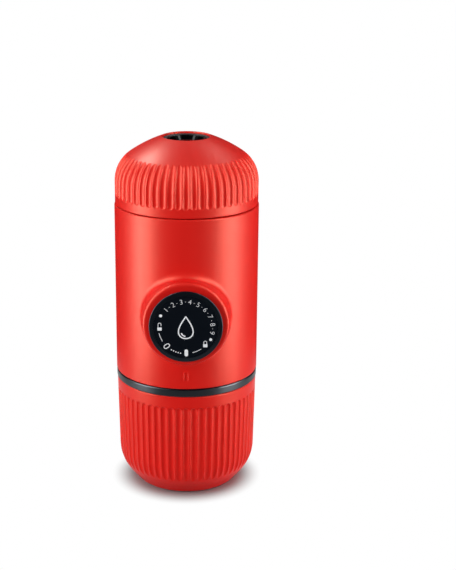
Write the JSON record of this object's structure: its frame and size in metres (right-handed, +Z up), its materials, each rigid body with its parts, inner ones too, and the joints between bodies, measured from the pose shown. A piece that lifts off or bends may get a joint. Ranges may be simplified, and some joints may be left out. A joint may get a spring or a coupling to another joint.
{
  "type": "handheld manual espresso maker",
  "caption": "Handheld manual espresso maker: fluted cup and head screwed to a smooth body with a pump knob.",
  "frame": {"origin": "middle of the cup's flat standing face, on the upright axis", "axes": "+Z up along the body, the pump knob towards -Y, +X to the right seen from the knob's side"},
  "size_m": [0.062, 0.0714, 0.1555],
  "materials": {
    "red_shell": "satin moulded",
    "tank_grey": "semi-gloss moulded",
    "black_moulding": "fine moulded grain",
    "knob_black": "satin moulded",
    "knob_face": "satin with printed marks",
    "nozzle_black": "polished",
    "clear_silicone": "matte",
    "black_rubber": "matte",
    "hose_silicone": "translucent",
    "stainless": "turned",
    "basket_steel": "drawn",
    "screw_steel": "plated",
    "spring_steel": "drawn wire"
  },
  "bodies": {
    "cup": {"drinking_cup": "red_shell"},
    "tank": {"water_tank": "tank_grey", "cup_grip_ring": "black_rubber"},
    "tank_gasket": {"tank_seal": "clear_silicone"},
    "body": {"main_shell": "red_shell", "lower_bulkhead": "black_moulding", "chassis_screws": "screw_steel", "air_valve": "clear_silicone", "inlet_strainer": "black_moulding", "tube_grommet": "clear_silicone", "suction_tube": "hose_silicone", "suction_fitting": "stainless", "inlet_valve": "clear_silicone", "pump_barrel": "stainless", "valve_block": "black_moulding", "valve_block_seal": "black_rubber", "valve_block_screws": "screw_steel", "outlet_valve": "clear_silicone", "delivery_fitting": "stainless", "delivery_tube": "hose_silicone", "guide_sleeve": "black_moulding", "return_spring": "spring_steel", "group_head": "black_moulding", "shower_screen": "basket_steel", "shower_screw": "screw_steel", "group_seal": "clear_silicone"},
    "plunger": {"plunger_rod": "stainless", "plunger_seal": "black_rubber", "knob_carrier": "black_moulding", "knob_screw": "screw_steel"},
    "knob": {"knob_cap": "knob_black", "knob_face": "knob_face"},
    "basket": {"filter_basket": "basket_steel", "basket_seal": "clear_silicone"},
    "head": {"head_shell": "red_shell", "spout_body": "black_moulding", "spout_nozzle": "nozzle_black", "spout_ring": "black_rubber"}
  },
  "joints": [
    {"name": "tank_pull", "type": "slide", "parent": "cup", "child": "tank", "axis": [0, 0, 1], "range_m": [0, 0.05]},
    {"name": "body_lift", "type": "slide", "parent": "tank", "child": "tank_gasket", "axis": [0, 0, 1], "range_m": [0, 0.0361]},
    {"name": "body_unscrew", "type": "hinge", "parent": "tank_gasket", "child": "body", "pos_m": [0, 0, 0.0574], "axis": [0, 0, 1], "range_deg": [0, 540]},
    {"name": "head_lift", "type": "slide", "parent": "body", "child": "basket", "axis": [0, 0, 1], "range_m": [0, 0.0361]},
    {"name": "head_unscrew", "type": "hinge", "parent": "basket", "child": "head", "pos_m": [0, 0, 0.132], "axis": [0, 0, 1], "range_deg": [0, 540]},
    {"name": "pump_stroke", "type": "slide", "parent": "body", "child": "plunger", "axis": [0, -1, 0], "range_m": [0, 0.02], "deforming": ["return_spring"]},
    {"name": "knob_turn", "type": "hinge", "parent": "plunger", "child": "knob", "pos_m": [0, -0.03, 0.0838], "axis": [0, -1, 0], "range_deg": [0, 45]}
  ],
  "couplings": [
    {"joint": "body_lift", "follows": "body_unscrew", "m_per_rad": 0.0038197},
    {"joint": "head_lift", "follows": "head_unscrew", "m_per_rad": 0.0038197}
  ]
}
